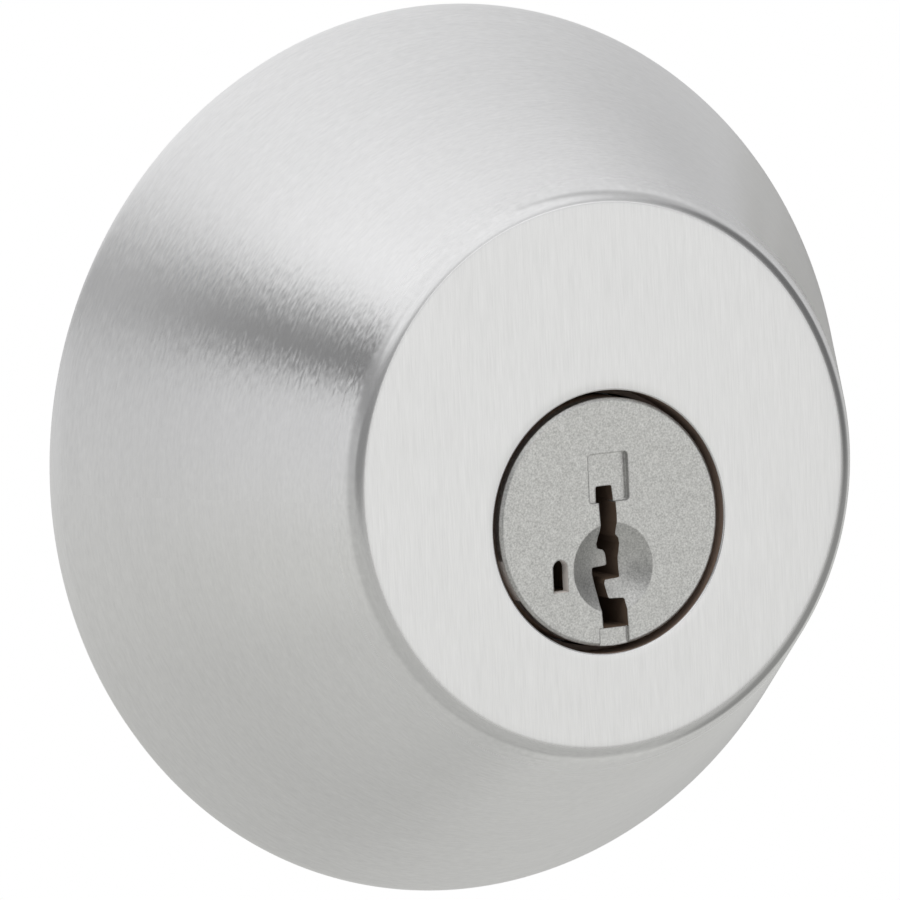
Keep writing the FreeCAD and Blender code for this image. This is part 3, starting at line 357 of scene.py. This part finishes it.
MATERIALS = {
    "satin_chrome": satin_chrome("satin_chrome", (0.82, 0.82, 0.82)),
    "satin_chrome_cast": satin_chrome("satin_chrome_cast", (0.82, 0.82, 0.82)),
    "cast_plug": plug_metal("cast_plug", (0.52, 0.52, 0.505), 7500.0),
    "hardened_ring": moulded("hardened_ring", (0.19, 0.138, 0.108), 0.6),
    "zinc_casting": cast_metal("zinc_casting", (0.50, 0.50, 0.51), 2400.0, 0.55),
    "plated_plate": plated_metal("plated_plate", (0.66, 0.65, 0.60), 0.36),
    "satin_faceplate": plated_metal("satin_faceplate", (0.72, 0.72, 0.73), 0.34),
    "plated_post": plated_metal("plated_post", (0.62, 0.62, 0.60), 0.36),
    "plated_screw": plated_metal("plated_screw", (0.70, 0.70, 0.70), 0.28),
    "black_ring": moulded("black_ring", (0.03, 0.03, 0.033), 0.5),
    "brass_pin": plated_metal("brass_pin", (0.72, 0.53, 0.25), 0.30),
    "brass_wafer": plated_metal("brass_wafer", (0.69, 0.50, 0.23), 0.36),
    "spring_wire": plated_metal("spring_wire", (0.66, 0.66, 0.68), 0.24),
    "hardened_pin": plated_metal("hardened_pin", (0.42, 0.42, 0.43), 0.30),
    "sidebar_steel": plated_metal("sidebar_steel", (0.58, 0.58, 0.58), 0.34),
    "carriage_zinc": cast_metal("carriage_zinc", (0.52, 0.52, 0.53), 2600.0, 0.5),
    "cover_steel": plated_metal("cover_steel", (0.60, 0.60, 0.60), 0.36),
    "clip_steel": plated_metal("clip_steel", (0.24, 0.24, 0.25), 0.42),
    "blade_steel": plated_metal("blade_steel", (0.60, 0.59, 0.54), 0.38),
    "sleeve_steel": plated_metal("sleeve_steel", (0.62, 0.61, 0.56), 0.36),
    "bolt_steel": plated_metal("bolt_steel", (0.72, 0.72, 0.73), 0.30),
    "tail_steel": plated_metal("tail_steel", (0.56, 0.55, 0.51), 0.38),
    "nylon": moulded("nylon", (0.78, 0.77, 0.72), 0.45),
}


def dress_cad_nodes():
    slots = {entry["node"]: entry["material_slot"] for entry in frame["record"]["subparts"]}
    for name, node in nodes.items():
        node.data.materials.clear()
        node.data.materials.append(MATERIALS[slots[name]])
        node.data.polygons.foreach_set("use_smooth", [True] * len(node.data.polygons))


# ---- lofted pieces ----

def loft_rings(name, rings, around):
    """A closed skin through circles about the Y direction, each ring being (radius, y, centre z)."""
    shape = bmesh.new()
    loops = []
    for radius, y, centre in rings:
        turns = [2 * pi * i / around for i in range(around)]
        loops.append([shape.verts.new((radius * cos(t), y, centre + radius * sin(t))) for t in turns])
    for low, high in zip(loops, loops[1:] + loops[:1]):
        for i in range(around):
            j = (i + 1) % around
            shape.faces.new((low[i], low[j], high[j], high[i]))
    bmesh.ops.recalc_face_normals(shape, faces=shape.faces)
    mesh = bpy.data.meshes.new(name)
    shape.to_mesh(mesh)
    shape.free()
    piece = bpy.data.objects.new(name, mesh)
    bpy.context.scene.collection.objects.link(piece)
    mesh.polygons.foreach_set("use_smooth", [True] * len(mesh.polygons))
    return piece


def corner_round(before, corner, after, radius, steps):
    """The arc of a given radius that rounds the corner of an outline."""
    to_before = Vector((before[0] - corner[0], before[1] - corner[1])).normalized()
    to_after = Vector((after[0] - corner[0], after[1] - corner[1])).normalized()
    half = to_before.angle(to_after) / 2
    reach = radius / tan(half)
    start = Vector(corner) + to_before * reach
    end = Vector(corner) + to_after * reach
    middle = Vector(corner) + (to_before + to_after).normalized() * (radius / sin(half))
    a = start - middle
    b = end - middle
    swing = a.angle_signed(b)
    points = []
    for i in range(steps + 1):
        turn = -swing * i / steps
        points.append((middle.x + a.x * cos(turn) - a.y * sin(turn),
                       middle.y + a.x * sin(turn) + a.y * cos(turn)))
    return points


def along(a, b, steps):
    """Points strictly between two outline points."""
    return [(a[0] + (b[0] - a[0]) * i / steps, a[1] + (b[1] - a[1]) * i / steps) for i in range(1, steps)]


def outside_rose():
    rim_back = (ROSE_R, 0.0)
    rim_front = (ROSE_R, -LIP)
    face_edge = (FACE_R, ROSE_FRONT)
    face_in = (HOLE_R + 2 * MM, ROSE_FRONT)
    lip_arc = corner_round(rim_back, rim_front, face_edge, LIP_ROUND, 10)
    front_arc = corner_round(rim_front, face_edge, face_in, FACE_ROUND, 12)
    outer = [(ROSE_R - 0.2 * MM, 0.0)] + lip_arc + along(lip_arc[-1], front_arc[0], 24) + front_arc
    rings = [(r, y, 0.0) for r, y in outer]
    # the flat face runs from its own circle to the hole's, which sits lower
    edge_r = front_arc[-1][0]
    hole_soft = 0.12 * MM
    rows = 16
    for i in range(1, rows + 1):
        part = i / rows
        radius = edge_r + (HOLE_R + hole_soft - edge_r) * part
        rings.append((radius, ROSE_FRONT, AXIS_Z * part))
    for i in range(1, 6):
        turn = pi / 2 * i / 5
        rings.append((HOLE_R + hole_soft * (1 - sin(turn)), ROSE_FRONT + hole_soft * (1 - cos(turn)), AXIS_Z))
    inner_front = ROSE_FRONT + ROSE_WALL
    rings.append((HOLE_R, inner_front, AXIS_Z))
    # the sloping wall is thicker when it is measured square to the axis
    skin = ROSE_WALL * 1.15
    slope = (ROSE_R - FACE_R) / (-ROSE_FRONT - LIP)
    inner_r = ROSE_R - slope * (-inner_front - LIP) - skin
    rings.append((inner_r, inner_front, 0.0))
    rings.append((ROSE_R - skin, -LIP - 0.8 * MM, 0.0))
    rings.append((ROSE_R - skin, 0.0, 0.0))
    piece = loft_rings("rose_shell", rings, ROSE_STEPS)
    piece.data.materials.append(MATERIALS["satin_chrome"])
    # the second slot is painted shade for the wall of the hole
    piece.data.materials.append(MATERIALS["hardened_ring"])
    # painted shade: the wall of the hole takes the material of the dark ring that it holds, for the shade in
    # the gap round the plug
    for face in piece.data.polygons:
        middle = face.center
        off_axis = Vector((middle.x, middle.z - AXIS_Z)).length
        if off_axis < HOLE_R + 0.02 * MM and middle.y > ROSE_FRONT + 0.11 * MM:
            face.material_index = 1
    sharp_edges(piece, 35)
    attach(piece, "lock")
    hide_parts("outside_rose")


def sharp_edges(piece, degrees):
    """Keep edges steeper than an angle crisp under smooth shading."""
    shape = bmesh.new()
    shape.from_mesh(piece.data)
    limit = radians(degrees)
    for edge in shape.edges:
        if len(edge.link_faces) == 2 and edge.calc_face_angle(0.0) > limit:
            edge.smooth = False
    shape.to_mesh(piece.data)
    shape.free()


# ---- studio ----

HIGH_TINT = (0.998, 0.998, 1.004, 1.0)
LOW_TINT = (1.0, 1.0, 0.972, 1.0)
# level of the studio light round the lock's axis, by degrees from +X towards +Z. The levels were worked
# out by a program that compared the cone's grey levels with the photograph's, and then adjusted.
AROUND_LIGHT = (
    (0, 1.28), (12, 0.86), (20, 0.69), (30, 0.66), (44, 0.74), (58, 0.85), (75, 0.90), (100, 0.97),
    (118, 1.03), (127, 0.96), (133, 0.68), (138, 0.37), (143, 0.16), (147, 0.10), (151, 0.39), (155, 0.72),
    (162, 0.80), (180, 0.79), (205, 0.72), (230, 0.63), (255, 0.61), (272, 0.58), (292, 0.67), (310, 0.66),
    (325, 0.65), (337, 0.74))
# level of the light in front of the lock, by height
FRONT_LIGHT = ((-1.0, 0.42), (-0.8, 0.50), (-0.3, 0.53), (0.1, 0.51), (1.0, 0.55))
# panels of light or shade, laid over both in this order: where each one is, as the turn in radians
# from straight in front towards +X and the height, then its size, its shear and its level
PANELS = (
    ((0.05, 0.62), (0.60, 0.42), 0.0, 0.95),
    ((-0.75, 0.85), (0.60, 0.25), 0.0, 0.93),
    ((0.19, 0.33), (0.37, 0.34), 2.6, 0.33),
    ((-0.20, 0.01), (0.40, 0.16), 0.0, 0.27),
    ((1.85, 0.15), (0.36, 0.45), 0.0, 0.63),
    ((1.35, -0.35), (0.45, 0.42), 0.0, 0.29),
    ((1.15, 0.13), (0.38, 0.30), 0.4, 0.17),
    ((0.46, -0.05), (0.20, 0.24), 0.0, 1.32))


def panel(s, swing, height, middle, size, shear):
    """1 inside an oval of directions, falling smoothly to 0 outside it."""
    across = s.math("ADD", s.math("SUBTRACT", swing, middle[0]), s.math("MULTIPLY", height, shear))
    u = s.math("DIVIDE", across, size[0])
    v = s.math("DIVIDE", s.math("SUBTRACT", height, middle[1]), size[1])
    return s.smooth(s.sum_of_squares(u, v), 1.5, 0.5)


def studio_world():
    """Soft studio light: a bright overhead, a dark gap to its left, and pale sides and floor."""
    world = bpy.data.worlds.new("studio")
    world.use_nodes = True
    bpy.context.scene.world = world
    s = Shade(world.node_tree)
    x, y, z = s.split(s.node("ShaderNodeTexCoord").outputs["Generated"])
    turn = s.math("MODULO", s.math("ADD", s.math("ARCTAN2", z, x), 2 * pi), 2 * pi)
    around_stops = [(degrees / 360, level) for degrees, level in AROUND_LIGHT]
    around = s.ramp(s.math("DIVIDE", turn, 2 * pi), around_stops)
    height = s.span(z, -1.0, 1.0, 0.0, 1.0)
    ahead = s.ramp(height, [((place + 1) / 2, level) for place, level in FRONT_LIGHT])
    swing = s.math("ARCTAN2", x, s.math("MULTIPLY", y, -1.0))
    light = s.mix(s.smooth(y, -0.12, -0.45), around, ahead)
    for middle, size, shear, level in PANELS:
        light = s.mix(panel(s, swing, z, middle, size, shear), light, grey(level))
    low = s.smooth(z, 0.25, -0.45)
    tinted = s.node("ShaderNodeVectorMath", {0: light, 1: s.mix(low, HIGH_TINT, LOW_TINT)},
                    operation="MULTIPLY").outputs[0]
    seen = s.node("ShaderNodeLightPath").outputs["Is Camera Ray"]
    background = s.node("ShaderNodeBackground", {"Color": s.mix(seen, tinted, grey(1.0)), "Strength": 1.0})
    s.node("ShaderNodeOutputWorld", {"Surface": background.outputs[0]})


def quad(name, corners):
    mesh = bpy.data.meshes.new(name)
    mesh.from_pydata(corners, [], [(0, 1, 2, 3)])
    piece = bpy.data.objects.new(name, mesh)
    bpy.context.scene.collection.objects.link(piece)
    return piece


FLOOR_Z = -0.0405
CARD_HALF = 0.0400
CARD_Y = 0.0004


def add_stage():
    reach = 3.0
    floor = quad("floor", [(-reach, -reach, FLOOR_Z), (reach, -reach, FLOOR_Z),
                           (reach, reach, FLOOR_Z), (-reach, reach, FLOOR_Z)])
    material, s = new_material("floor")
    finish_material(s, {"Base Color": grey(0.9), "Roughness": 0.9})
    floor.data.materials.append(material)
    floor.visible_glossy = False
    # a white card in the plane of the door's outside face, seen from outside only
    card = quad("door_card", [(-CARD_HALF, CARD_Y, -CARD_HALF), (CARD_HALF, CARD_Y, -CARD_HALF),
                              (CARD_HALF, CARD_Y, CARD_HALF), (-CARD_HALF, CARD_Y, CARD_HALF)])
    material, s = new_material("door_card")
    behind = s.node("ShaderNodeNewGeometry").outputs["Backfacing"]
    white = s.node("ShaderNodeEmission", {"Color": grey(1.0), "Strength": 1.0})
    clear = s.node("ShaderNodeBsdfTransparent")
    both = s.node("ShaderNodeMixShader", {0: behind, 1: white.outputs[0], 2: clear.outputs[0]})
    s.node("ShaderNodeOutputMaterial", {"Surface": both.outputs[0]})
    card.data.materials.append(material)
    for ray in ("visible_diffuse", "visible_glossy", "visible_transmission", "visible_shadow"):
        setattr(card, ray, False)


def add_key_light():
    data = bpy.data.lights.new("overhead", "AREA")
    data.shape = "SQUARE"
    data.size = 0.35
    data.energy = 2.0
    lamp = bpy.data.objects.new("overhead", data)
    place = Vector((-0.15, -0.25, 0.55))
    lamp.location = place
    lamp.rotation_euler = (-place).to_track_quat("-Z", "Y").to_euler()
    lamp.visible_glossy = False
    bpy.context.scene.collection.objects.link(lamp)


bpy.context.scene.view_settings.view_transform = "Standard"
add_camera()
studio_world()
add_stage()
add_key_light()
dress_cad_nodes()
outside_rose()
